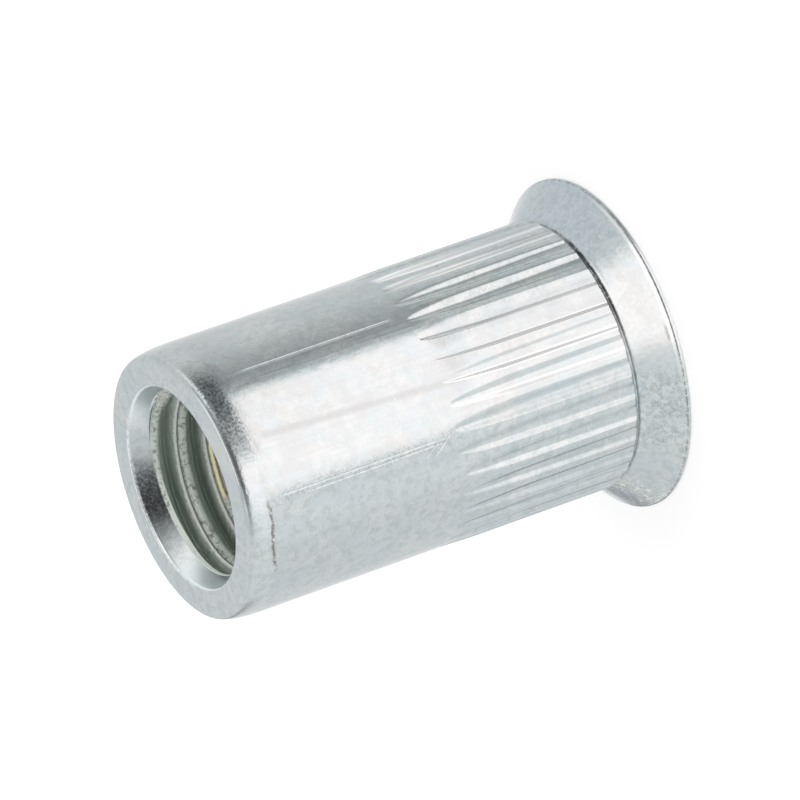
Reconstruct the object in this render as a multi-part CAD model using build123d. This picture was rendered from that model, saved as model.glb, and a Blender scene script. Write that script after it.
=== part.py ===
from build123d import *
import os
from math import radians, tan

# An open-end rivet nut for an M10 screw, with a 90 degree countersunk head and a ribbed shank.
# It is one piece, cold formed from steel wire. It stands on the flat face of its head: the origin
# is the middle of that face, +Z runs up the shank to the open end, and sizes are in millimetres.

# Overall
overall_length = 22.5
shank_diameter = 13.0

# Countersunk head
head_diameter = 16.0
head_angle = 90.0
head_land = 0.18
head_edge_chamfer = 0.05

# Neck between the head and the ribs
neck_depth = 0.2
neck_width = 0.34

# Ribs that bite into the panel, left standing between round-bottomed grooves
rib_count = 36
first_groove_angle = 6.0
rib_height = 0.046
rib_end_chamfer = 0.09
groove_depth = 0.15
groove_cutter_radius = 1.0
full_groove_end = 8.5
groove_run_out_end = 11.45

# Nose, the rounded lead-in round the open end
nose_length = 1.77
nose_inset = 0.31

# Recess in the open end, ahead of the thread
recess_mouth_diameter = 9.75
recess_floor_diameter = 8.95
recess_depth = 0.98
recess_mouth_rounding = 0.15

# Bore of the M10 x 1.5 thread, at the crests of the thread
thread_crest_diameter = 8.6
thread_lead_angle = 60.0

# Chamber, the thin-walled length that folds against the panel when the nut is set
chamber_diameter = 10.9
chamber_depth = 10.8
chamber_end_angle = 90.0
chamber_mouth_chamfer = 0.15



def cone_length(wide_radius, narrow_radius, full_angle):
    """Length along the axis of a cone between two radii."""
    return (wide_radius - narrow_radius) / tan(radians(full_angle / 2))


head_radius = head_diameter / 2
shank_radius = shank_diameter / 2
crest_radius = shank_radius + rib_height
neck_radius = crest_radius - neck_depth
groove_floor_radius = crest_radius - groove_depth
neck_start = head_land + cone_length(head_radius, crest_radius, head_angle)
rib_start = neck_start + neck_width


def outside():
    """The head, neck, ribbed length, plain shank and nose, turned about the axis."""
    nose_start = overall_length - nose_length
    face_radius = shank_radius - nose_inset
    with BuildPart() as body:
        with BuildSketch(Plane.XZ):
            with BuildLine():
                Polyline(
                    (face_radius, overall_length),
                    (0, overall_length),
                    (0, 0),
                    (head_radius, 0),
                    (head_radius, head_land),
                    (crest_radius, neck_start),
                    (neck_radius, neck_start),
                    (neck_radius, rib_start),
                    (crest_radius - rib_end_chamfer, rib_start),
                    (crest_radius, rib_start + rib_end_chamfer),
                    (crest_radius, full_groove_end),
                    (shank_radius, groove_run_out_end),
                    (shank_radius, nose_start),
                )
                EllipticalCenterArc((face_radius, nose_start), nose_inset, nose_length, arc_size=90)
            make_face()
        revolve(axis=Axis.Z)
        head_edge = body.edges().filter_by(GeomType.CIRCLE).group_by(Axis.Z)[0]
        chamfer(head_edge, head_edge_chamfer)
    return body.part


def bore():
    """The chamber, the thread's bore and the recess, turned about the axis as one hollow."""
    chamber_radius = chamber_diameter / 2
    thread_radius = thread_crest_diameter / 2
    recess_floor_radius = recess_floor_diameter / 2
    recess_floor = overall_length - recess_depth
    thread_start = chamber_depth + cone_length(chamber_radius, thread_radius, chamber_end_angle)
    thread_end = recess_floor - cone_length(recess_floor_radius, thread_radius, thread_lead_angle)
    with BuildPart() as hollow:
        with BuildSketch(Plane.XZ):
            with BuildLine():
                Polyline(
                    (0, 0),
                    (chamber_radius + chamber_mouth_chamfer, 0),
                    (chamber_radius, chamber_mouth_chamfer),
                    (chamber_radius, chamber_depth),
                    (thread_radius, thread_start),
                    (thread_radius, thread_end),
                    (recess_floor_radius, recess_floor),
                    (recess_mouth_diameter / 2, overall_length),
                    (0, overall_length),
                    close=True,
                )
            make_face()
        revolve(axis=Axis.Z)
    return hollow.part


def groove():
    """What a round cutter sweeps: level along the ribs from the neck, then rising off the shank."""
    cutter_start = (neck_start + rib_start) / 2
    cutter_centre = groove_floor_radius + groove_cutter_radius
    rise = shank_radius - groove_floor_radius
    run_out = groove_run_out_end - full_groove_end
    with BuildPart() as cut:
        with BuildLine() as path:
            Polyline(
                (cutter_centre, 0, cutter_start),
                (cutter_centre, 0, full_groove_end),
                (cutter_centre + 2 * rise, 0, full_groove_end + 2 * run_out),
            )
        with BuildSketch(Plane(path.line @ 0, z_dir=path.line % 0)):
            Circle(groove_cutter_radius)
        sweep(transition=Transition.RIGHT)
    return cut.part


with BuildPart() as rivet_nut:
    add(outside())
    with PolarLocations(0, rib_count, start_angle=first_groove_angle):
        add(groove(), mode=Mode.SUBTRACT)
    add(bore(), mode=Mode.SUBTRACT)
    open_face_edges = rivet_nut.edges().filter_by(GeomType.CIRCLE).group_by(Axis.Z)[-1]
    fillet(open_face_edges.sort_by(SortBy.RADIUS)[0], recess_mouth_rounding)

os.makedirs("parts", exist_ok=True)
export_step(rivet_nut.part, "parts/rivet_nut.step")
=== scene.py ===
# %% [markdown]
# # An M10 rivet nut, zinc plated
# A rivet nut gives a thin panel a strong thread. Its head sits in a countersink, its ribs bite into the
# edge of the hole, and when a screw pulls on the thread at the far end, the thin wall between them folds
# against the back of the panel. The part is one piece of steel, so this lesson makes one mesh.
# The frame gives the solid model in metres: it stands on its head, with its axis on Z.

# %% Load the frame
import bpy
import bmesh
from math import atan2, cos, pi, radians, sin
from mathutils import Matrix, Vector


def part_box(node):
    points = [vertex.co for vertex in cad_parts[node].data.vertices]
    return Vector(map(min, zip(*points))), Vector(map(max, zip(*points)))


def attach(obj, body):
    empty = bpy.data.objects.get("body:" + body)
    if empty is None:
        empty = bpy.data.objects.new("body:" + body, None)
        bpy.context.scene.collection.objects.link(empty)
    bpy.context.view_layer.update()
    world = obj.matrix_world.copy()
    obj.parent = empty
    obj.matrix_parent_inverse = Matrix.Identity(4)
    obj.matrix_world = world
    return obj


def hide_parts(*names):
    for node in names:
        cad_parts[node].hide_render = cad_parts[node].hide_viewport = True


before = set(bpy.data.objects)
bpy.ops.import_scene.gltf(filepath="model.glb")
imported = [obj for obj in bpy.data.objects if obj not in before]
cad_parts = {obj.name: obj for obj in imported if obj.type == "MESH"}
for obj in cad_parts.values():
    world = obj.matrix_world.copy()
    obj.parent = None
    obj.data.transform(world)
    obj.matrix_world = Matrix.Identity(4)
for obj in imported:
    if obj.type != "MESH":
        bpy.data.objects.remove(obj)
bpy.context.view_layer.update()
MM = 0.001
low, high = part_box("rivet_nut")
NUT_HEIGHT = round((high.z - low.z) / MM, 2)
HEAD_RADIUS = round((high.x - low.x) / 2 / MM, 2)
print("height and head radius in mm:", NUT_HEIGHT, HEAD_RADIUS)

# %% [markdown]
# ## Sizes
# These are the sizes of the solid model, in millimetres. The mesh is modelled at one unit to the
# millimetre, because merging and cutting go wrong less often on things that aren't tiny, and it is
# brought down to metres at the end.

# %% Sizes outside: head, neck, ribs, shank and nose
SHANK_RADIUS = 6.5
CREST_RADIUS = 6.546
NECK_RADIUS = 6.346
HEAD_LAND = 0.18
RIM_ROUNDING = 0.03
FACE_ROUNDING = 0.06
NECK_LENGTH = 0.34
NECK_START = HEAD_LAND + HEAD_RADIUS - CREST_RADIUS
RIB_START = NECK_START + NECK_LENGTH
RUN_OUT_END = 11.45
NOSE_LENGTH = 1.77
NOSE_INSET = 0.31
NOSE_START = NUT_HEIGHT - NOSE_LENGTH
FACE_RADIUS = SHANK_RADIUS - NOSE_INSET
print("the ribs run from", round(RIB_START, 3), "to", RUN_OUT_END)

# %% Sizes inside: mouth, recess, thread and chamber
MOUTH_RADIUS = 4.875
MOUTH_ROUNDING = 0.15
MOUTH_ROUNDING_WIDTH = 0.195
RECESS_DEPTH = 0.98
RECESS_FLOOR = NUT_HEIGHT - RECESS_DEPTH
RECESS_FLOOR_RADIUS = 4.475
THREAD_CREST_RADIUS = 4.3
THREAD_ROOT_RADIUS = 5.0
PITCH = 1.5
CHAMBER_RADIUS = 5.45
CHAMBER_DEPTH = 10.8
CHAMBER_ROUNDING = 0.15
THREAD_START = CHAMBER_DEPTH + CHAMBER_RADIUS - THREAD_CREST_RADIUS
print("the thread's bore runs from", round(THREAD_START, 2), "to", round(RECESS_FLOOR, 2))

# %% [markdown]
# ## A slice through one rib
# The ribs are cold formed: a die pushes 36 shallow grooves into the blank, and the metal between them
# rises a little. A groove leans to one side, with a gentle and a steep side. It is deepest two thirds of
# the way along, is a little shallower and flatter near the head, and runs out quickly at its far end.
# One groove with half a rib on each side is a slice of ten degrees. Modelling one slice and spinning
# copies of it round the axis makes every rib alike, as the die does, and needs only 19 columns of
# points. Each row is pulled up from the last one.

# %% Sizes of a groove, and the columns of points across it
RIB_COUNT = 36
FIRST_GROOVE = 6
SLICE = 2 * pi / RIB_COUNT
HALF_SLICE = SHANK_RADIUS * SLICE / 2
COLUMNS = [-HALF_SLICE, -0.54, -0.49, -0.40, -0.30, -0.20, -0.12, -0.05, 0.03, 0.09,
           0.12, 0.15, 0.20, 0.26, 0.31, 0.345, 0.375, 0.40, HALF_SLICE]
GENTLE_EDGE = -0.52
STEEP_EDGE = 0.38
DEEPEST = 8.2
DEPTH_AT_HEAD, DEPTH_AT_DEEPEST = 0.115, 0.16
GENTLE_AT_HEAD, GENTLE_AT_DEEPEST = 0.27, 0.46
STEEP_AT_HEAD, STEEP_AT_DEEPEST = 0.22, 0.27
DEPTH_POWER = 0.55
SPREAD_POWER = 0.4
RISE_LENGTH = 2.2
GENTLE_SOFTNESS, STEEP_SOFTNESS, RISE_SOFTNESS = 0.4, 0.15, 0.5
print("half a slice is", round(HALF_SLICE, 3), "mm wide, in", len(COLUMNS), "columns")


# %% The surface of one groove
def part_way(share, first, last):
    """The value that lies a share of the way from first to last."""
    return first + (last - first) * share


def ramp(share, softness):
    """Rises from 0 to 1 as share does, on a straight slope with rounded ends."""
    share = max(0, min(1, share))
    slope = 1 / (1 - softness)
    if share < softness:
        return slope * share * share / 2 / softness
    if share > 1 - softness:
        return 1 - slope * (1 - share) ** 2 / 2 / softness
    return slope * (share - softness / 2)


def groove_at(height):
    """(depth, spread, width of the gentle side, width of the steep side) of the groove at a height."""
    if height < DEEPEST:
        share = (height - RIB_START) / (DEEPEST - RIB_START)
        return (part_way(share, DEPTH_AT_HEAD, DEPTH_AT_DEEPEST), 1,
                part_way(share, GENTLE_AT_HEAD, GENTLE_AT_DEEPEST),
                part_way(share, STEEP_AT_HEAD, STEEP_AT_DEEPEST))
    left = max(0, (RUN_OUT_END - height) / (RUN_OUT_END - DEEPEST))
    spread = left ** SPREAD_POWER
    return (DEPTH_AT_DEEPEST * left ** DEPTH_POWER, spread,
            GENTLE_AT_DEEPEST * spread, STEEP_AT_DEEPEST * spread)


def ribbed(height, drop=0):
    """Radii of a row's columns at a height, with the whole row lowered by drop."""
    depth, spread, gentle, steep = groove_at(height)
    risen = ramp((RUN_OUT_END - height) / RISE_LENGTH, RISE_SOFTNESS)
    crest = part_way(risen, SHANK_RADIUS, CREST_RADIUS)
    radii = []
    for across in COLUMNS:
        pushed_in = 0
        if depth > 0:
            down = ramp((across - GENTLE_EDGE * spread) / gentle, GENTLE_SOFTNESS)
            up = ramp((STEEP_EDGE * spread - across) / steep, STEEP_SOFTNESS)
            pushed_in = depth * min(down, up)
        radii.append(crest - max(drop, pushed_in))
    return radii


for height in (3, 6, 9, 11):
    print("at a height of", height, "mm the groove is", round(groove_at(height)[0], 3), "mm deep")


# %% Rows of the slice outside: head, neck, ribs, shank and nose
def head_and_neck_rows():
    """(height, radius) from the edge of the head's face to the foot of the ribs."""
    rim = [
        (0.02, HEAD_RADIUS - 0.018), (FACE_ROUNDING, HEAD_RADIUS), (HEAD_LAND - RIM_ROUNDING, HEAD_RADIUS),
        (HEAD_LAND, HEAD_RADIUS - 0.008), (HEAD_LAND + RIM_ROUNDING, HEAD_RADIUS - 0.034),
    ]
    foot_of_cone = [
        (NECK_START - 0.05, CREST_RADIUS + 0.05), (NECK_START, CREST_RADIUS + 0.006),
        (NECK_START + 0.13, CREST_RADIUS - 0.11), (NECK_START + 0.17, NECK_RADIUS + 0.04),
    ]
    neck = [
        (NECK_START + 0.19, NECK_RADIUS), (RIB_START - 0.05, NECK_RADIUS),
        (RIB_START - 0.015, NECK_RADIUS + 0.02),
    ]
    return rim + foot_of_cone + neck


def rib_rows():
    """(height, radii of the columns) from the foot of the ribs to the end of their run-out."""
    rows = [(RIB_START + rise, ribbed(RIB_START + rise, drop))
            for rise, drop in ((0, 0.12), (0.02, 0.07), (0.07, 0.015), (0.12, 0))]
    rows += [(height, ribbed(height)) for height in (3.5, 5.0, 6.6, 7.6, DEEPEST)]
    for left in (0.85, 0.7, 0.57, 0.46, 0.36, 0.28, 0.21, 0.15, 0.1, 0.06, 0.03, 0.01, 0):
        height = RUN_OUT_END - left * (RUN_OUT_END - DEEPEST)
        rows.append((height, ribbed(height)))
    return rows + [(RUN_OUT_END + 0.6, SHANK_RADIUS)]


def nose_rows():
    """(height, radius) along the shank and round the nose to the edge of the open face."""
    rows = [(15.0, SHANK_RADIUS), (18.5, SHANK_RADIUS), (NOSE_START, SHANK_RADIUS)]
    for angle in (8, 16, 24, 32, 40, 48, 56, 63, 70, 76, 82, 86, 90):
        turn = radians(angle)
        rows.append((NOSE_START + NOSE_LENGTH * sin(turn), FACE_RADIUS + NOSE_INSET * cos(turn)))
    return rows


outside_rows = head_and_neck_rows() + rib_rows() + nose_rows()
print("rows outside:", len(outside_rows))


# %% Rows of the slice inside: open face, recess, bore, chamber and back to the head's face
def inside_rows():
    """(height, radius) from the open face down the bore and out along the head's face."""
    face_edge = MOUTH_RADIUS + MOUTH_ROUNDING
    mouth = [(NUT_HEIGHT, 5.7), (NUT_HEIGHT, face_edge)]
    for angle in (20, 40, 60, 78):
        turn = radians(angle)
        drop = MOUTH_ROUNDING * (1 - cos(turn))
        mouth.append((NUT_HEIGHT - drop, face_edge - MOUTH_ROUNDING_WIDTH * sin(turn)))
    recess = [(RECESS_FLOOR + 0.8, 4.807), (RECESS_FLOOR + 0.04, 4.49), (RECESS_FLOOR, RECESS_FLOOR_RADIUS)]
    bore = [(RECESS_FLOOR - 0.025, 4.45), (RECESS_FLOOR - 0.175, THREAD_CREST_RADIUS),
            (THREAD_START, THREAD_CREST_RADIUS)]
    chamber = [(CHAMBER_DEPTH, CHAMBER_RADIUS), (5.0, CHAMBER_RADIUS), (CHAMBER_ROUNDING, CHAMBER_RADIUS)]
    head_face = [(0, CHAMBER_RADIUS + CHAMBER_ROUNDING), (0, 6.8), (0, HEAD_RADIUS - FACE_ROUNDING)]
    return mouth + recess + bore + chamber + head_face


print("rows inside:", len(inside_rows()))


# %% Helpers for edit mode
def start_clean():
    """Leaves edit mode and deselects everything, so that no operator reaches the frame's own nodes."""
    if bpy.context.object and bpy.context.object.mode != "OBJECT":
        bpy.ops.object.mode_set(mode="OBJECT")
    bpy.ops.object.select_all(action="DESELECT")


def edit_points():
    """The points of the mesh that is in edit mode."""
    return bmesh.from_edit_mesh(bpy.context.object.data).verts


def select_points(wanted):
    """Selects just the points for which wanted(point) is true, and the edges between them."""
    mesh = bmesh.from_edit_mesh(bpy.context.object.data)
    for point in mesh.verts:
        point.select = wanted(point)
    mesh.select_flush_mode()


# %% The first row of points
TINY = 0.001
start_clean()
first_radius = HEAD_RADIUS - FACE_ROUNDING
bpy.ops.mesh.primitive_circle_add(vertices=RIB_COUNT * (len(COLUMNS) - 1), radius=first_radius,
                                  rotation=(0, 0, pi / 2))
nut = bpy.context.object
nut.name = "zinc_plated_rivet_nut"
bpy.ops.object.transform_apply(rotation=True)
bpy.ops.object.mode_set(mode="EDIT")
select_points(lambda point: abs(atan2(point.co.y, point.co.x)) > SLICE / 2 + TINY)
bpy.ops.mesh.delete(type="VERT")
first_row = sorted((-atan2(point.co.y, point.co.x), point.index, point.co.copy()) for point in edit_points())
for (_, index, place), across in zip(first_row, COLUMNS):
    angle = -across / SHANK_RADIUS
    select_points(lambda point: point.index == index)
    bpy.ops.transform.translate(
        value=(first_radius * cos(angle) - place.x, first_radius * sin(angle) - place.y, 0))
bpy.ops.mesh.select_all(action="SELECT")
print("columns in the first row:", len(edit_points()))


# %% Pull the slice up, over and down
def pull_row(height, radii):
    """Extrudes the selected row to a height and moves each of its columns to its own radius."""
    row = [point for point in edit_points() if point.select]
    rise = height - row[0].co.z
    bpy.ops.mesh.extrude_region_move(TRANSFORM_OT_translate={"value": (0, 0, rise)})
    row = {point.index: point.co.copy() for point in edit_points() if point.select}
    if not isinstance(radii, list):
        radii = [radii] * len(COLUMNS)
    for index, place in row.items():
        across = -atan2(place.y, place.x) * SHANK_RADIUS
        radius = min(zip(COLUMNS, radii), key=lambda pair: abs(pair[0] - across))[1]
        factor = radius / place.xy.length
        select_points(lambda point: point.index == index)
        bpy.ops.transform.resize(value=(factor, factor, 1), center_override=(0, 0, 0))
    select_points(lambda point: point.index in row)


for height, radii in outside_rows + inside_rows():
    pull_row(height, radii)
print("points in the slice:", len(edit_points()))

# %% [markdown]
# ## Spin the slice into the whole nut
# The spin tool with duplicates makes the other 35 slices. Neighbours share the points of their edges,
# and the last row lies on the first, so merging doubles closes the mesh into one watertight skin. It is
# then turned, so that the first groove comes where it is on the solid model.


# %% Spin, merge and turn the first groove to its place
def count_open_points():
    """Selects the points where the skin isn't closed, and returns how many there are."""
    bpy.ops.mesh.select_all(action="DESELECT")
    bpy.ops.mesh.select_non_manifold()
    return sum(point.select for point in edit_points())


slices_left = RIB_COUNT - 1
bpy.ops.mesh.select_all(action="SELECT")
bpy.ops.mesh.spin(steps=slices_left, dupli=True, angle=slices_left * SLICE, center=(0, 0, 0), axis=(0, 0, 1))
bpy.ops.mesh.select_all(action="SELECT")
bpy.ops.mesh.remove_doubles(threshold=TINY)
bpy.ops.mesh.normals_make_consistent(inside=False)
print("points that leave the skin open:", count_open_points())
bpy.ops.object.mode_set(mode="OBJECT")
nut.rotation_euler.z = radians(FIRST_GROOVE)
bpy.ops.object.transform_apply(rotation=True)
print("faces after the spin:", len(nut.data.polygons))

# %% [markdown]
# ## The thread
# The nut is threaded by a tap that presses the groove into the bore and leaves a small seam where the
# metal has risen from both sides and met. The same is done here: the section of the groove is drawn
# once, a Screw modifier winds it up the axis, right-handed, and the winding is cut out of the nut.
# The section starts and ends inside the bore, at a radius less than the crests', and the winding goes
# on past both ends of the thread before it is trimmed, so that the cut goes cleanly through.

# %% Draw the section of the thread's groove
THREAD_TURNS = 9
THREAD_STEPS = 288
WINDING_START = 8.875
SECTION = [
    # (radius, rise): over the crest, with the seam's notch in it, down to the root and up again
    (4.15, 0.02), (THREAD_CREST_RADIUS, 0.07), (4.31, 0.14), (4.34, 0.22), (4.39, 0.31), (4.43, 0.36),
    (4.48, 0.42), (4.50, 0.47), (4.49, 0.52), (4.46, 0.565), (4.46, 0.595), (4.49, 0.63),
    (4.95, 0.905), (4.99, 0.945), (THREAD_ROOT_RADIUS, 1.0), (4.99, 1.045), (4.95, 1.08),
    (4.33, 1.44), (THREAD_CREST_RADIUS, 1.465), (4.15, 1.48),
]

start_clean()
bpy.ops.mesh.primitive_plane_add(size=0.1, location=(0, 0, 0))
thread_groove = bpy.context.object
thread_groove.name = "thread_groove"
bpy.ops.object.mode_set(mode="EDIT")
bpy.ops.mesh.select_all(action="SELECT")
bpy.ops.mesh.merge(type="CENTER")
radius, rise = SECTION[0]
bpy.ops.transform.translate(value=(radius, 0, rise))
for (radius, rise), (next_radius, next_rise) in zip(SECTION, SECTION[1:]):
    bpy.ops.mesh.extrude_region_move(
        TRANSFORM_OT_translate={"value": (next_radius - radius, 0, next_rise - rise)})
select_points(lambda point: point.index in (0, len(SECTION) - 1))
bpy.ops.mesh.edge_face_add()
bpy.ops.mesh.select_all(action="SELECT")
bpy.ops.transform.translate(value=(0, 0, WINDING_START))
bpy.ops.object.mode_set(mode="OBJECT")
print("edges in the section:", len(thread_groove.data.edges))

# %% Wind it, trim both ends flat and close them
winding = thread_groove.modifiers.new("winding", "SCREW")
winding.axis = "Z"
winding.iterations = THREAD_TURNS
winding.screw_offset = PITCH
winding.steps = THREAD_STEPS
winding.render_steps = THREAD_STEPS
winding.use_merge_vertices = False
bpy.ops.object.modifier_apply(modifier=winding.name)
bpy.ops.object.mode_set(mode="EDIT")
for height, upwards in ((RECESS_FLOOR - 0.01, True), (THREAD_START - 0.55, False)):
    bpy.ops.mesh.select_all(action="SELECT")
    bpy.ops.mesh.bisect(plane_co=(0, 0, height), plane_no=(0, 0, 1), use_fill=True,
                        clear_outer=upwards, clear_inner=not upwards)
bpy.ops.mesh.select_all(action="SELECT")
bpy.ops.mesh.remove_doubles(threshold=TINY / 2)
bpy.ops.mesh.normals_make_consistent(inside=False)
print("open points in the winding:", count_open_points())
bpy.ops.object.mode_set(mode="OBJECT")
print("faces in the winding:", len(thread_groove.data.polygons))

# %% Cut the thread
start_clean()
nut.select_set(True)
bpy.context.view_layer.objects.active = nut
tapping = nut.modifiers.new("tapping", "BOOLEAN")
tapping.object = thread_groove
tapping.operation = "DIFFERENCE"
tapping.solver = "MANIFOLD"
bpy.ops.object.modifier_apply(modifier=tapping.name)
bpy.data.objects.remove(thread_groove)
bpy.ops.object.mode_set(mode="EDIT")
print("open points after tapping:", count_open_points())

# %% Bring the nut down to metres and smooth all but its sharp edges
SHARP_FROM = radians(32)
bpy.ops.mesh.select_all(action="SELECT")
bpy.ops.transform.resize(value=(MM, MM, MM), center_override=(0, 0, 0))
bpy.ops.object.mode_set(mode="OBJECT")
nut.data.calc_loop_triangles()
print("triangles:", len(nut.data.loop_triangles))
bpy.ops.object.shade_smooth_by_angle(angle=SHARP_FROM)

# %% [markdown]
# ## Zinc plating
# Bright zinc is a thin metal skin, pale and a little blue. On a small pressed part it is never even: it
# is cloudy where the bath worked unevenly, carries fine lines along the way the wire was drawn, is
# speckled on the rounded nose, and goes dull and greenish down in the thread. All of this is made from
# noise on the object's own coordinates, taken in millimetres, so each scale can be read off a ruler.
# The helpers add their nodes to `tree`, the node tree of whatever is being made.

# %% Helpers that add nodes
zinc = bpy.data.materials.new("bright_zinc_plating")
zinc.use_nodes = True
tree = zinc.node_tree
surface = tree.nodes["Principled BSDF"]


def feed(socket, value):
    """Links another socket to an input, or sets the input to a plain value."""
    if isinstance(value, bpy.types.NodeSocket):
        tree.links.new(value, socket)
    else:
        socket.default_value = value


def add_node(kind, settings=None, **values):
    """Adds a shader node and feeds its inputs, by name, with numbers, colours or other nodes' sockets."""
    node = tree.nodes.new("ShaderNode" + kind)
    for name, value in (settings or {}).items():
        setattr(node, name, value)
    for name, value in values.items():
        feed(node.inputs[name.replace("_", " ")], value)
    return node


def maths(operation, *values):
    """A Math node's result."""
    node = add_node("Math", {"operation": operation})
    for socket, value in zip(node.inputs, values):
        feed(socket, value)
    return node.outputs[0]


print("nodes in a new material:", len(tree.nodes))


# %% Helpers that pick out a place
def fade(value, zero, one):
    """0 at one end of a stretch and 1 at the other, smooth between them."""
    node = add_node("MapRange", {"interpolation_type": "SMOOTHSTEP"}, Value=value)
    node.inputs["From Min"].default_value = min(zero, one)
    node.inputs["From Max"].default_value = max(zero, one)
    node.inputs["To Min"].default_value = float(zero > one)
    node.inputs["To Max"].default_value = float(zero < one)
    return node.outputs["Result"]


def meet(first, *others):
    """Where all of the places overlap: the product of their shares."""
    share = first
    for other in others:
        share = maths("MULTIPLY", share, other)
    return share


def between(value, starts, full_from, full_to, ends):
    """1 where value lies between full_from and full_to, fading to 0 at starts and ends."""
    return meet(fade(value, starts, full_from), fade(value, ends, full_to))


# %% [markdown]
# ### Where a point is
# A nut is round, so a point's place is its height, its radius and its azimuth, the angle from +X
# towards +Y in degrees. From these three come all the places that look different: a stretch of height
# and a radius make the cone or the recess, and an azimuth says on which side of the nut a mark is.
# A stretch is always given as where it starts, where it is full from and to, and where it ends.
# The steep sides of the grooves are found by the same sums that made them, and the way up a turn of the
# thread by taking away from the height what the thread has climbed at that azimuth.

# %% Height, radius and azimuth, in millimetres and degrees
in_metres = add_node("TexCoord").outputs["Object"]
place = add_node("VectorMath", {"operation": "SCALE"}, Vector=in_metres, Scale=1 / MM).outputs[0]
across_x, across_y, height = add_node("SeparateXYZ", Vector=place).outputs
radius = maths("SQRT", maths("ADD", meet(across_x, across_x), meet(across_y, across_y)))
azimuth = maths("MULTIPLY", maths("ARCTAN2", across_y, across_x), 180 / pi)


def facing(starts, full_from, full_to, ends):
    """The stretch of the nut that faces these azimuths."""
    return between(azimuth, starts, full_from, full_to, ends)


def at_height(starts, full_from, full_to, ends):
    """The stretch of the nut at these heights."""
    return between(height, starts, full_from, full_to, ends)


print("nodes that find a point:", len(tree.nodes))

# %% The parts of the nut
outside = fade(radius, 5.9, 6.2)
in_neck = meet(at_height(NECK_START + 0.1, NECK_START + 0.14, RIB_START, RIB_START + 0.05),
               fade(radius, CREST_RADIUS + 0.02, CREST_RADIUS - 0.05))
on_cone = meet(at_height(0.01, 0.06, NECK_START + 0.11, NECK_START + 0.15), fade(radius, 6.4, 6.42))
on_ribs = meet(at_height(RIB_START, RIB_START + 0.1, 10.6, 11.4), outside)
on_shank = meet(at_height(10, 11.5, 20.6, 21), outside)
on_nose = meet(at_height(21.1, 21.5, 22.25, 22.45), fade(radius, 5.8, 6.0))
on_face = fade(height, NUT_HEIGHT - 0.03, NUT_HEIGHT - 0.01)
in_recess = meet(fade(radius, 4.95, 4.85), fade(height, 21.5, 21.55))
in_bore = meet(fade(radius, 5.3, 5.1), at_height(9, 10, 21.5, 21.55))
in_front = facing(-108, -98, -66, -58)
print("nodes with the parts of the nut:", len(tree.nodes))

# %% The steep side of each groove, and the way up each turn of the thread
first_in_slice = 0.5 + FIRST_GROOVE * RIB_COUNT / 360
in_slice = maths("FRACT", maths("MULTIPLY_ADD", azimuth, -RIB_COUNT / 360, first_in_slice))
run_out = RUN_OUT_END - DEEPEST
left = maths("MULTIPLY_ADD", height, -1 / run_out, RUN_OUT_END / run_out)
spread = maths("POWER", maths("MAXIMUM", left, 0.02), SPREAD_POWER)
across_groove = maths("DIVIDE", maths("SUBTRACT", in_slice, 0.5), maths("MINIMUM", spread, 1.0))
on_steep = meet(at_height(RIB_START, RIB_START + 0.1, 11.1, 11.4), outside,
                between(across_groove, 0.08, 0.12, 0.32, 0.35))
turns = maths("MULTIPLY_ADD", azimuth, -1 / 360, maths("MULTIPLY", height, 1 / PITCH))
in_thread = maths("MULTIPLY", maths("FRACT", turns), PITCH)
print("nodes with the grooves and the thread:", len(tree.nodes))

# %% [markdown]
# ### Colour
# The colour goes from large to small: clouds a millimetre or two across, finer mottling, grain, faint
# lines along the axis, and a few brown specks. The side in front, where the broad highlight falls, has
# less mottling and grain, a painted highlight that keeps it clean and light, and worn patches instead.
# Lines along the axis are noise on a place whose height is squeezed.


# %% Helpers for noise and colours
def noise(vector, scale, detail=3.0, roughness=0.55, distortion=0.0):
    """Noise around 0.5 at so many grains to the millimetre."""
    return add_node("TexNoise", Vector=vector, Scale=scale, Detail=detail, Roughness=roughness,
                    Distortion=distortion).outputs["Fac"]


def blend(share, first, second, kind="MIX"):
    """Mixes two colours."""
    node = add_node("Mix", {"data_type": "RGBA", "blend_type": kind})
    for index, value in ((0, share), (6, first), (7, second)):
        feed(node.inputs[index], value)
    return node.outputs[2]


print("nodes before the first colour:", len(tree.nodes))

# %% Clouds, mottling and grain
BLUE_CLOUD = (0.51, 0.565, 0.59, 1)
GREY_CLOUD = (0.575, 0.60, 0.60, 1)
MOTTLE = (0.45, 0.50, 0.505, 1)
GRAIN = (0.41, 0.45, 0.46, 1)
WORN = (0.5, 0.515, 0.52, 1)

clouds = noise(place, 0.45, 4, 0.6, 0.6)
mottling = noise(place, 2.4, 5, 0.65, 0.4)
dirt = noise(place, 4.5, 4, 0.7)
fine = noise(place, 8.0, 3, 0.6)
colour = blend(fade(clouds, 0.36, 0.64), BLUE_CLOUD, GREY_CLOUD)
# Painted highlight: mottling and grain thin out on the side in front, where the broad highlight falls.
mottled = meet(fade(mottling, 0.56, 0.36), maths("MULTIPLY_ADD", in_front, -0.7, 1.0))
colour = blend(mottled, colour, MOTTLE)
past_front = fade(azimuth, -56, -46)
grain_strength = maths("MULTIPLY_ADD", in_front, -0.17, maths("MULTIPLY_ADD", past_front, 0.08, 0.3))
colour = blend(meet(fade(fine, 0.36, 0.66), grain_strength), colour, GRAIN)
worn = meet(fade(noise(place, 0.8, 2, 0.5, 1.0), 0.46, 0.6), 0.5)
colour = blend(meet(worn, in_front), colour, WORN)
print("nodes with clouds and grain:", len(tree.nodes))

# %% Draw lines and specks
DRAW_LINE = (0.40, 0.43, 0.43, 1)
SPECK = (0.33, 0.29, 0.26, 1)
SQUEEZED = (1, 1, 0.03)

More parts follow.
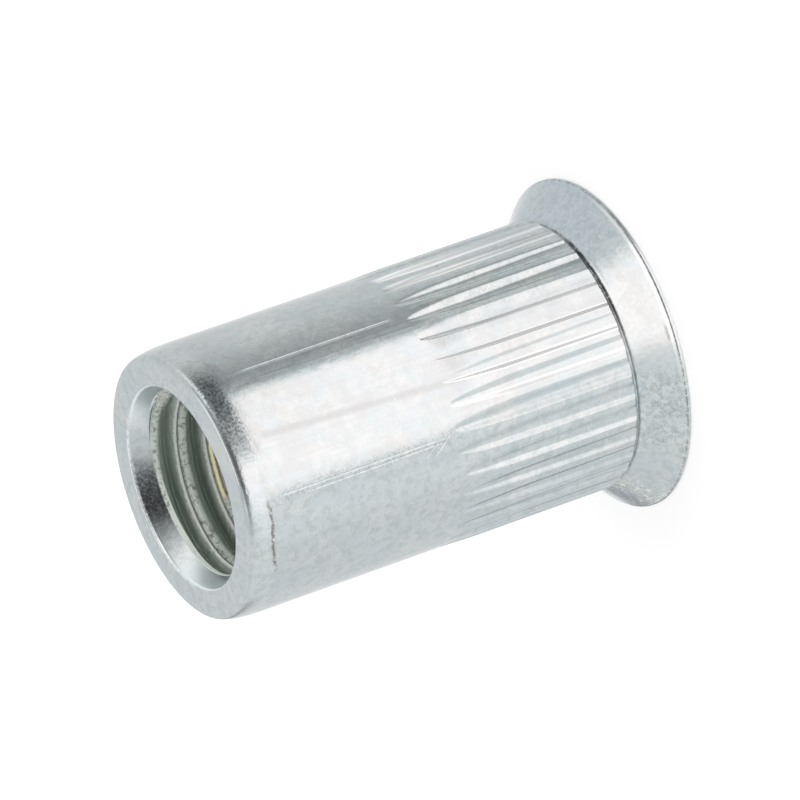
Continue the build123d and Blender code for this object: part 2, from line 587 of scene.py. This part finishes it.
along = add_node("VectorMath", {"operation": "MULTIPLY"}, Vector=place)
along.inputs[1].default_value = SQUEEZED
drawn = noise(along.outputs[0], 5.0, 3, 0.6)
colour = blend(meet(fade(drawn, 0.58, 0.38), 0.12), colour, DRAW_LINE)
from_speck = add_node("TexVoronoi", Vector=place, Scale=0.5, Randomness=1.0).outputs["Distance"]
speck_size = maths("MULTIPLY_ADD", noise(place, 0.7), 0.3, -0.13)
colour = blend(meet(maths("LESS_THAN", from_speck, speck_size), 0.4), colour, SPECK)
print("nodes with lines and specks:", len(tree.nodes))

# %% [markdown]
# ### The places that differ
# Then come the marks that make a part look handled, and the light and shade painted into the colour.
# The head is bluer on one side. On the other side it is painted lighter, as a highlight, and has a green
# patch and chips. There is dirt round its rim, a painted highlight along its edge, and a neck that is
# darker all round and painted black with shade on one side. The ribs are painted lighter, as highlights,
# on their steep sides and on the lands between the grooves. The nose has a painted dark reflection on
# one side and a brown crack. The mouth has a painted highlight on its edge, and its recess has a painted
# dark reflection on one side and painted light at both ends. The thread is greenish, with dark pits on
# its crests, a white seam and a painted yellow glint deep down. A stain is never laid on evenly: noise
# decides where it takes.


# %% Helpers that lay colour over a place
def tint(colour, where, by):
    """Multiplies the colour of a place."""
    return blend(where, colour, blend(1.0, colour, by, "MULTIPLY"))


def stain(colour, where, strength, dark, clean, dirty, blotches=dirt):
    """Lays a blotchy stain over a place: none where the noise is at clean, full where it is at dirty."""
    return blend(meet(where, fade(blotches, clean, dirty), strength), colour, dark)


def distance_from(value, middle):
    """How far value is from middle, on either side."""
    return maths("ABSOLUTE", maths("SUBTRACT", value, middle))


def either(first, second):
    """Where one place or the other is: the larger of their shares."""
    return maths("MAXIMUM", first, second)


# %% The head's cone: bluer, painted lighter on one side as a highlight, a green patch with veins, and chips
BLUER = (0.9, 0.95, 0.99, 1)
PAINTED_LIGHT_CONE = (1.14, 1.16, 1.16, 1)
GREEN_PATCH = (0.33, 0.37, 0.34, 1)
VEIN = (0.24, 0.26, 0.22, 1)
CHIP_EDGE = (0.28, 0.33, 0.28, 1)
CHIP = (0.92, 0.93, 0.9, 1)

colour = tint(colour, meet(on_cone, fade(azimuth, -66, -42)), BLUER)
# Painted highlight: the side of the cone with the green patch is made lighter.
colour = tint(colour, meet(on_cone, facing(-165, -125, -108, -98)), PAINTED_LIGHT_CONE)
colour = stain(colour, meet(on_cone, facing(-150, -136, -112, -102)), 0.5, GREEN_PATCH, 0.44, 0.62)
vein = fade(distance_from(noise(place, 0.9, 4, 0.6), 0.5), 0.02, 0.006)
colour = blend(meet(on_cone, vein, facing(-142, -134, -112, -104), 0.3), colour, VEIN)
chipped = meet(on_cone, fade(maths("ABSOLUTE", azimuth), 158, 176))
colour = stain(colour, chipped, 0.55, CHIP_EDGE, 0.5, 0.6, fine)
colour = stain(colour, chipped, 0.9, CHIP, 0.47, 0.36)
print("nodes with the cone:", len(tree.nodes))

# %% The head's rim and the neck: a nick, a painted highlight along the edge, dirt, and a darker neck with painted shade
NICK = (0.25, 0.25, 0.24, 1)
EDGE_HIGHLIGHT_PAINT = (0.66, 0.68, 0.68, 1)
RIM_DIRT = (0.22, 0.2, 0.18, 1)
NECK_DARKER = (0.2, 0.21, 0.21, 1)
PAINTED_NECK_SHADE = (0.1, 0.11, 0.11, 1)

nick = meet(facing(-98, -96, -93, -91), at_height(0.28, 0.33, 0.4, 0.46))
colour = blend(meet(nick, 0.6), colour, NICK)
# Painted highlight: a thin light line along the head's edge, on the side towards the front.
painted_edge_highlight = meet(at_height(0.2, 0.25, 0.3, 0.36), facing(-115, -105, -50, -30))
colour = blend(painted_edge_highlight, colour, EDGE_HIGHLIGHT_PAINT)
colour = stain(colour, at_height(0.12, 0.15, 0.2, 0.24), 0.6, RIM_DIRT, 0.42, 0.56)
# The neck is made darker all round, in blotches, and painted nearly black on one side, as painted shade in
# the crease.
colour = stain(colour, in_neck, 0.35, NECK_DARKER, 0.45, 0.6)
colour = stain(colour, meet(in_neck, facing(-96, -76, -44, -36)), 0.85, PAINTED_NECK_SHADE, 0.36, 0.46)
print("nodes with the rim and neck:", len(tree.nodes))

# %% The ribs: painted highlights on the grooves' sides and the lands
PAINTED_LIGHT_STEEP = (0.84, 0.85, 0.85, 1)
PAINTED_HIGHLIGHT_STEEP = (0.97, 0.98, 0.98, 1)
PAINTED_LIGHT_FAR_STEEP = (0.8, 0.82, 0.82, 1)
PAINTED_HIGHLIGHT_GENTLE = (0.96, 0.98, 0.98, 1)
PAINTED_LIGHT_LAND = (1.24, 1.24, 1.22, 1)

# Painted light: the steep sides facing the front are made lighter, most in the middle of the broad highlight,
# and those facing nearly +X a little.
colour = blend(meet(on_steep, facing(-99, -91, -66, -60)), colour, PAINTED_LIGHT_STEEP)
colour = blend(meet(on_steep, facing(-99, -91, -83, -79)), colour, PAINTED_HIGHLIGHT_STEEP)
colour = blend(meet(on_steep, facing(-38, -34, -20, -16)), colour, PAINTED_LIGHT_FAR_STEEP)
# Painted highlights: the gentle sides facing nearly +X are made almost white, more so further from the head,
# and the lands between them and the front are made lighter.
gentle_side = meet(on_ribs, between(in_slice, 0.02, 0.22, 0.42, 0.52))
more_up_high = maths("MULTIPLY_ADD", fade(height, 3, 8), 0.45, 0.5)
colour = blend(meet(gentle_side, facing(-38, -35, -20, -17), more_up_high), colour, PAINTED_HIGHLIGHT_GENTLE)
lands = meet(on_ribs, between(in_slice, 0.48, 0.56, 0.97, 1.0))
colour = tint(colour, meet(lands, facing(-59, -57, -42, -38)), PAINTED_LIGHT_LAND)
print("nodes with the ribs:", len(tree.nodes))

# %% The nose: a little brighter, with a painted dark reflection in grains on one side, blotches and a brown crack
BRIGHTER_WALL = (1.04, 1.04, 1.04, 1)
BRIGHTER_NOSE = (1.06, 1.06, 1.06, 1)
PAINTED_NOSE_DARK_REFLECTION = (0.1, 0.11, 0.12, 1)
BLOTCH = (0.34, 0.34, 0.32, 1)
CRACK = (0.17, 0.14, 0.12, 1)

wall_in_shade = meet(outside, facing(-172, -155, -122, -112), fade(radius, 6.6, 6.58))
colour = tint(colour, wall_in_shade, BRIGHTER_WALL)
colour = tint(colour, either(on_nose, meet(on_face, 0.6)), BRIGHTER_NOSE)
# Painted dark reflection: the nose is laid dark in grains on its side towards the front.
colour = stain(colour, meet(on_nose, facing(-92, -72, -52, -42)), 0.75, PAINTED_NOSE_DARK_REFLECTION, 0.38, 0.66, fine)
below_nose = meet(outside, facing(-52, -44, -20, -5), fade(height, 18, 21))
colour = stain(colour, below_nose, 0.5, BLOTCH, 0.46, 0.62, mottling)
wandering = maths("MULTIPLY_ADD", noise(place, 1.2), 0.5, height)
crack = meet(between(wandering, 21.46, 21.56, 21.6, 21.7), facing(-141, -136, -110, -104), outside)
colour = stain(colour, crack, 0.8, CRACK, 0.42, 0.52)
print("nodes with the nose:", len(tree.nodes))

# %% The shank: a dull side, specks along two draw lines, and a slanting streak
DULL_SIDE = (0.42, 0.45, 0.42, 1)
LOWER_LINE = (0.3, 0.33, 0.33, 1)
UPPER_LINE = (0.27, 0.3, 0.31, 1)
STREAK = (0.42, 0.435, 0.44, 1)
SLANT = -0.463

patches = noise(place, 1.3, 4, 0.6)
colour = stain(colour, meet(on_shank, facing(-52, -44, -12, 0)), 0.3, DULL_SIDE, 0.46, 0.58, patches)
colour = stain(colour, meet(on_shank, facing(-110, -107, -105, -102)), 0.5, LOWER_LINE, 0.5, 0.64, fine)
colour = stain(colour, meet(on_shank, facing(-60, -57, -53, -51.5)), 0.5, UPPER_LINE, 0.46, 0.6, drawn)
slanting = maths("MULTIPLY_ADD", height, SLANT, azimuth)
streak = meet(on_shank, between(slanting, -92.6, -90.6, -89.8, -87.8))
colour = stain(colour, streak, 0.65, STREAK, 0.2, 0.5)
print("nodes with the shank:", len(tree.nodes))

# %% The mouth: a painted highlight on its edge, and a recess with a painted dark reflection on one side, painted light at both ends of it and painted shade at its foot
PAINTED_MOUTH_HIGHLIGHT = (0.8, 0.83, 0.83, 1)
PAINTED_LIGHT_RECESS = (0.8, 0.87, 0.88, 1)
PAINTED_DARK_REFLECTION_RECESS = (0.08, 0.09, 0.1, 1)
RECESS_SHADE = (0.1, 0.11, 0.11, 1)

# Painted highlight: the rounded edge of the mouth is made lighter on the far side, broken up by noise.
mouth_edge_highlight = meet(between(radius, 4.84, 4.9, 4.98, 5.03), fade(height, 22.2, 22.3), facing(25, 60, 125, 170))
colour = blend(meet(mouth_edge_highlight, fade(dirt, 0.7, 0.4)), colour, PAINTED_MOUTH_HIGHLIGHT)
# Painted light at both ends of the recess, and a painted dark reflection, laid in grains, on the far side
# between them.
recess_ends = meet(in_recess, fade(distance_from(azimuth, 88), 35, 60))
colour = blend(recess_ends, colour, PAINTED_LIGHT_RECESS)
colour = stain(colour, meet(in_recess, facing(62, 80, 96, 116)), 0.8, PAINTED_DARK_REFLECTION_RECESS, 0.2, 0.66, fine)
foot_of_recess = meet(in_recess, fade(height, 21.61, 21.56), facing(-5, 8, 45, 60))
colour = blend(foot_of_recess, colour, RECESS_SHADE)
print("nodes with the mouth:", len(tree.nodes))

# %% The thread: greenish, pale on its crests with dark pits, white along the seam, a painted yellow glint deep down
GREENISH = (0.5, 0.56, 0.51, 1)
PALE_CREST = (0.6, 0.65, 0.6, 1)
PIT = (0.17, 0.19, 0.17, 1)
SEAM = (0.9, 0.92, 0.9, 1)
BURR = (0.9, 0.9, 0.84, 1)
PAINTED_YELLOW_GLINT = (0.95, 0.9, 0.5, 1)
BROWN = (0.3, 0.2, 0.1, 1)

colour = blend(in_bore, colour, GREENISH)
ragged = maths("MULTIPLY_ADD", dirt, 0.16, maths("SUBTRACT", in_thread, 0.08))
crest = meet(in_bore, between(ragged, 0.0, 0.05, 0.36, 0.42))
colour = blend(crest, colour, PALE_CREST)
colour = stain(colour, crest, 0.75, PIT, 0.5, 0.62)
seam = meet(in_bore, between(ragged, 0.42, 0.45, 0.52, 0.57))
colour = blend(seam, colour, SEAM)
burr = meet(facing(-25, -8, 22, 34), at_height(20.2, 20.6, 21.5, 21.7), fade(radius, 4.85, 4.75))
colour = stain(colour, burr, 0.9, BURR, 0.48, 0.56, fine)
# Painted highlight: a yellow glint along one turn of the thread deep down on the far side, with a brown line
# beside it.
deep = meet(in_bore, facing(62, 72, 100, 108), at_height(18.2, 18.3, 19, 19.1))
colour = blend(meet(deep, between(in_thread, 0.2, 0.24, 0.3, 0.34)), colour, PAINTED_YELLOW_GLINT)
colour = blend(meet(deep, between(in_thread, 0.08, 0.12, 0.16, 0.2)), colour, BROWN)
feed(surface.inputs["Base Color"], colour)
print("nodes with the colour:", len(tree.nodes))

# %% [markdown]
# ### Gloss and relief
# Where the skin is cloudy it is also duller. The torn metal of the thread hardly shines, so it is made
# less metallic there. The relief is only microns deep, but a polished surface shows it: grain all over
# and more of it on the nose, draw lines along the shank, turning marks in the recess, a rough thread,
# and a handful of scratches.


# %% Shine of the torn metal, and roughness of each part
def mix_numbers(share, first, second):
    """The number that lies a share of the way from first to second."""
    return add_node("Mix", {"data_type": "FLOAT"}, Factor=share, A=first, B=second).outputs[0]


torn = either(either(seam, burr), meet(crest, 0.6))
feed(surface.inputs["Metallic"], maths("MULTIPLY_ADD", torn, -0.8, 1.0))
surface.inputs["Specular Tint"].default_value = (0.9, 0.9, 0.91, 1)
ROUGHNESS = [
    (on_face, 0.24), (in_bore, 0.38), (in_recess, 0.16), (recess_ends, 0.32),
    (in_neck, 0.4), (on_ribs, 0.2), (on_steep, 0.3),
]
rough = maths("MULTIPLY_ADD", fade(clouds, 0.4, 0.62), 0.05, 0.1)
for where, value in ROUGHNESS:
    rough = mix_numbers(where, rough, value)
feed(surface.inputs["Roughness"], rough)
print("parts with a roughness of their own:", len(ROUGHNESS))

# %% Scratches, each a line from one place on the outside wall to another
PER_DEGREE = SHANK_RADIUS * pi / 180
SCRATCHES = [
    # (azimuth, height) of the start and the end, and the width
    ((-51, 11.6), (-51, 20.9), 0.09),
    ((-105.8, 12.4), (-105.8, 21), 0.06),
    ((-107.4, 12.0), (-107.8, 19.5), 0.06),
    ((-112, 12.7), (-105.5, 11.8), 0.06),
    ((-111.5, 13.2), (-107, 12.5), 0.05),
]


def scratch(start, end, width):
    """1 on the line from start to end and 0 beside it."""
    run_x = (end[0] - start[0]) * PER_DEGREE
    run_y = end[1] - start[1]
    length = (run_x ** 2 + run_y ** 2) ** 0.5
    x = maths("MULTIPLY", maths("SUBTRACT", azimuth, start[0]), PER_DEGREE)
    y = maths("SUBTRACT", height, start[1])
    onward = maths("ADD", maths("MULTIPLY", x, run_x / length), maths("MULTIPLY", y, run_y / length))
    aside = maths("SUBTRACT", maths("MULTIPLY", x, run_y / length), maths("MULTIPLY", y, run_x / length))
    return meet(fade(maths("ABSOLUTE", aside), width, 0),
                between(onward, 0, 0.1 * length, 0.85 * length, length), outside)


scratched = 0.0
for start, end, width in SCRATCHES:
    scratched = maths("ADD", scratched, scratch(start, end, width))
print("scratches:", len(SCRATCHES))

# %% Relief
grain = noise(place, 7.0, 3, 0.6)
ripples = noise(place, 1.6, 2, 0.5)
turned = add_node("TexWave", {"bands_direction": "Z"}, Vector=place, Scale=2.2, Distortion=1.0,
                  Detail=2.0).outputs["Fac"]
RELIEF = [
    # a pattern, and how far it rises in millimetres
    (mottling, 0.003), (ripples, 0.008), (meet(drawn, on_shank), 0.002), (meet(turned, in_recess), 0.0005),
    (meet(dirt, in_bore), 0.04), (meet(fine, burr), 0.08), (scratched, -0.014),
]
relief = meet(grain, maths("MULTIPLY_ADD", on_nose, 0.006, 0.0022))
for pattern, rise in RELIEF:
    relief = maths("MULTIPLY_ADD", pattern, rise, relief)
feed(surface.inputs["Normal"], add_node("Bump", Strength=1.0, Distance=MM, Height=relief).outputs["Normal"])
nut.data.materials.clear()
nut.data.materials.append(zinc)
print("nodes in the plating:", len(tree.nodes))

# %% [markdown]
# ## Studio
# Shiny metal shows its surroundings, so a small metal part is lit by a white tent with a few brighter
# and darker panels outside it. The tent is the world: its wall is plain white wherever it is seen, also
# in metal and through glass, and the panels are patches in azimuth and elevation that only the camera
# itself doesn't see. The paper under the part is matt and keeps its shadow, and is white when seen. The
# tent goes on below the paper, so the paper stays out of reflections, casts no shadow, and is clear from
# below. It lies a hair lower than the nut's face, because two faces in one plane flicker.


# %% A helper for what is white when seen
def seen_directly(light_path):
    """1 for what the camera sees, straight, in metal or through glass, and 0 for light on a surface."""
    return either(either(light_path["Is Camera Ray"], light_path["Is Glossy Ray"]),
                  light_path["Is Transmission Ray"])


# %% Paper
PAPER_SIZE = 4
PAPER_DROP = 0.02 * MM
PAPER_GLOW = 0.36

start_clean()
bpy.ops.mesh.primitive_plane_add(size=PAPER_SIZE, location=(0, 0, -PAPER_DROP))
floor = bpy.context.object
floor.name = "floor"
paper = bpy.data.materials.new("white_paper")
paper.use_nodes = True
tree = paper.node_tree
matt = tree.nodes["Principled BSDF"]
matt.inputs["Base Color"].default_value = (0.8, 0.8, 0.8, 1)
matt.inputs["Roughness"].default_value = 0.9
matt.inputs["Emission Color"].default_value = (1, 1, 1, 1)
feed(matt.inputs["Emission Strength"], meet(seen_directly(add_node("LightPath").outputs), PAPER_GLOW))
from_below = add_node("NewGeometry").outputs["Backfacing"]
clear = add_node("BsdfTransparent").outputs[0]
one_sided = add_node("MixShader")
for socket, value in zip(one_sided.inputs, (from_below, matt.outputs[0], clear)):
    feed(socket, value)
feed(tree.nodes["Material Output"].inputs["Surface"], one_sided.outputs[0])
floor.data.materials.append(paper)
floor.visible_glossy = False
floor.visible_shadow = False
print("the paper is", PAPER_SIZE, "m wide")

# %% Panels outside the tent
PANELS = [
    # azimuth: starts, full from, full to, ends; the same for elevation; change of light. Where the two
    # fades of a stretch overlap, they meet on the way, and the panel is nowhere at its full strength.
    ((-126, -109, -37, -26), (-100, -96, -19, -17), 0.66),
    ((-181, -139, -118, -111), (-100, -96, -24, 0), 0.17),
    ((-160, -103, -95, -75), (-20, -13, 3, 12), 0.6),
    ((-130, -98, -6, 28), (45, 53, 66, 85), 0.68),
    ((-35, -13, -35, 35), (-62, -58, -23, -13), -0.53),
    ((-91, -32, -18, 24), (-25, -13, 2, 7), -0.72),
    ((-162, -95, -78, -25), (2, 9, 28, 37), -0.81),
    ((-132, -112, -67, -32), (33, 42, 45, 51), -0.72),
    ((-58, -41, -16, 2), (17, 26, 25, 35), -0.57),
    ((-181, -180, 180, 181), (59, 71, 95, 101), -0.33),
    ((-142, -125, -114, -96), (21, 31, 34, 44), 0.52),
    ((-39, -23, -19, 33), (-1, 2, 10, 20), 0.47),
    ((90, 107, 136, 150), (-19, -13, -9, 4), -0.41),
]
world = bpy.data.worlds.new("light_tent")
bpy.context.scene.world = world
world.use_nodes = True
tree = world.node_tree
tree.nodes.clear()
looking = add_node("TexCoord").outputs["Generated"]
east, north, up = add_node("SeparateXYZ", Vector=looking).outputs
bearing = maths("MULTIPLY", maths("ARCTAN2", north, east), 180 / pi)
elevation = maths("MULTIPLY", maths("ARCSINE", up), 180 / pi)
panels = 0.0
for bearings, elevations, change in PANELS:
    panel = meet(between(bearing, *bearings), between(elevation, *elevations))
    panels = maths("MULTIPLY_ADD", panel, change, panels)
print("panels outside the tent:", len(PANELS))

# %% The tent's wall, and its light
WALL_LIGHT = 0.98
WHITE = 1.0
DIMMEST = 0.05
COOL_LIGHT = (1, 1, 1, 1)
WARM_LIGHT = (1.065, 1, 0.985, 1)

light_path = add_node("LightPath").outputs
wall = mix_numbers(seen_directly(light_path), WALL_LIGHT, WHITE)
off_camera = maths("SUBTRACT", 1.0, light_path["Is Camera Ray"])
level = maths("MAXIMUM", maths("MULTIPLY_ADD", panels, off_camera, wall), DIMMEST)
light = blend(fade(level, 1.2, 1.5), COOL_LIGHT, WARM_LIGHT)
tent = add_node("Background", Color=light, Strength=level)
feed(add_node("OutputWorld").inputs["Surface"], tent.outputs[0])
print("nodes in the tent:", len(tree.nodes))

# %% [markdown]
# ## Camera
# A long lens from far away keeps the lines along the nut nearly parallel, as small parts are often shown.
# The camera is rolled onto its side, so that the standing nut appears to lie with its open end in front.

# %% Camera
CAMERA_PLACE = Vector((0.515, -356.722, 177.122)) * MM
CAMERA_RIGHT = Vector((-0.329745, -0.399273, -0.855482))
CAMERA_UP = Vector((0.94407, -0.139458, -0.298803))
CAMERA_BACK = CAMERA_RIGHT.cross(CAMERA_UP)
SENSOR_WIDTH = 36
FOCAL_LENGTH = 384.14

camera_data = bpy.data.cameras.new("camera")
camera_data.sensor_width = SENSOR_WIDTH
camera_data.lens = FOCAL_LENGTH
camera_data.clip_start = 0.01
camera_data.clip_end = 10
camera = bpy.data.objects.new("camera", camera_data)
bpy.context.scene.collection.objects.link(camera)
turn = Matrix((CAMERA_RIGHT, CAMERA_UP, CAMERA_BACK)).transposed().to_4x4()
camera.matrix_world = Matrix.Translation(CAMERA_PLACE) @ turn
bpy.context.scene.camera = camera
bpy.context.scene.view_settings.view_transform = "Standard"
print("the camera is", round(CAMERA_PLACE.length, 3), "m from the nut's foot")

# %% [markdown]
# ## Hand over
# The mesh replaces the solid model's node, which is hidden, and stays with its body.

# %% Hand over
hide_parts("rivet_nut")
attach(nut, "root")
